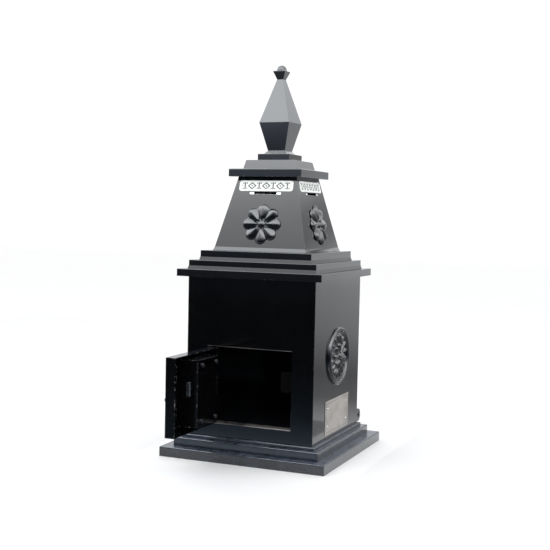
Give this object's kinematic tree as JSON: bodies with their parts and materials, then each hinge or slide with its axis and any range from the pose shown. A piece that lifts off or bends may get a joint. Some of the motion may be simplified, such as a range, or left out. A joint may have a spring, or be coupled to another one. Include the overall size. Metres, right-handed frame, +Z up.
{
  "type": "donation box",
  "caption": "Free-standing black steel donation box: stepped plinth, locking cabinet door, stepped cornice, sloping roof with a slot on each side, stacked cap and tall finial.",
  "frame": {"origin": "centre of the flat underside of the plinth", "axes": "+Z up through the finial, -Y towards the front with the door, +X to the right seen from the front"},
  "size_m": [0.516, 0.7222, 1.165],
  "materials": {
    "black_paint": "high-gloss black paint on folded sheet steel",
    "bright_metal": "bright plated",
    "pale_label": null,
    "notice_grey": "satin grey, blank",
    "plain_steel": "bare or zinc-plated steel"
  },
  "bodies": {
    "cabinet": {"back_panel": "black_paint", "base_plate": "black_paint", "cabinet_floor": "black_paint", "cap_block": "black_paint", "cap_slab": "black_paint", "cap_slope": "black_paint", "cornice_lower": "black_paint", "cornice_middle": "black_paint", "cornice_upper": "black_paint", "finial_ball": "black_paint", "finial_collar": "black_paint", "finial_lower": "black_paint", "finial_nut": "plain_steel", "finial_stud": "plain_steel", "finial_upper": "black_paint", "floor_cleats": "black_paint", "front_panel": "black_paint", "hinge_frame_leaves": "black_paint", "hinge_frame_rivets": "plain_steel", "hinge_pins": "plain_steel", "label_plate_back": "pale_label", "label_plate_front": "pale_label", "label_plate_left": "pale_label", "label_plate_right": "pale_label", "left_panel": "black_paint", "medallion_left": "black_paint", "medallion_right": "black_paint", "notice_plate": "notice_grey", "notice_rivets": "plain_steel", "plinth_middle_tier": "black_paint", "plinth_slab": "black_paint", "plinth_top_tier": "black_paint", "rear_anchor_lug": "black_paint", "right_panel": "black_paint", "roof_panel_back": "black_paint", "roof_panel_front": "black_paint", "roof_panel_left": "black_paint", "roof_panel_right": "black_paint", "rosette_back": "black_paint", "rosette_front": "black_paint", "rosette_left": "black_paint", "rosette_right": "black_paint", "slot_trim_back": "bright_metal", "slot_trim_front": "bright_metal", "slot_trim_left": "bright_metal", "slot_trim_right": "bright_metal", "strike_plate": "black_paint"},
    "door": {"door_pan": "black_paint", "lock_case": "black_paint", "lock_case_screws": "plain_steel", "bolt_guides": "plain_steel", "key_escutcheon": "bright_metal", "pull_knob": "black_paint", "hinge_door_leaves": "black_paint", "hinge_door_rivets": "plain_steel"},
    "key_plug": {"lock_plug": "plain_steel"},
    "bolt": {"lock_bolt": "plain_steel"}
  },
  "joints": [
    {"name": "door_hinge", "type": "hinge", "parent": "cabinet", "child": "door", "pos_m": [-0.1315, -0.2042, 0.216], "axis": [0, 0, 1], "range_deg": [-80, 90]},
    {"name": "key_turn", "type": "hinge", "parent": "door", "child": "key_plug", "pos_m": [-0.1115, -0.3542, 0.2101], "axis": [1, 0, 0], "range_deg": [0, 270]},
    {"name": "bolt_slide", "type": "slide", "parent": "door", "child": "bolt", "axis": [0, -1, 0], "range_m": [0, 0.02827]}
  ],
  "couplings": [
    {"joint": "key_turn", "follows": "bolt_slide", "rad_per_m": 166.67}
  ]
}
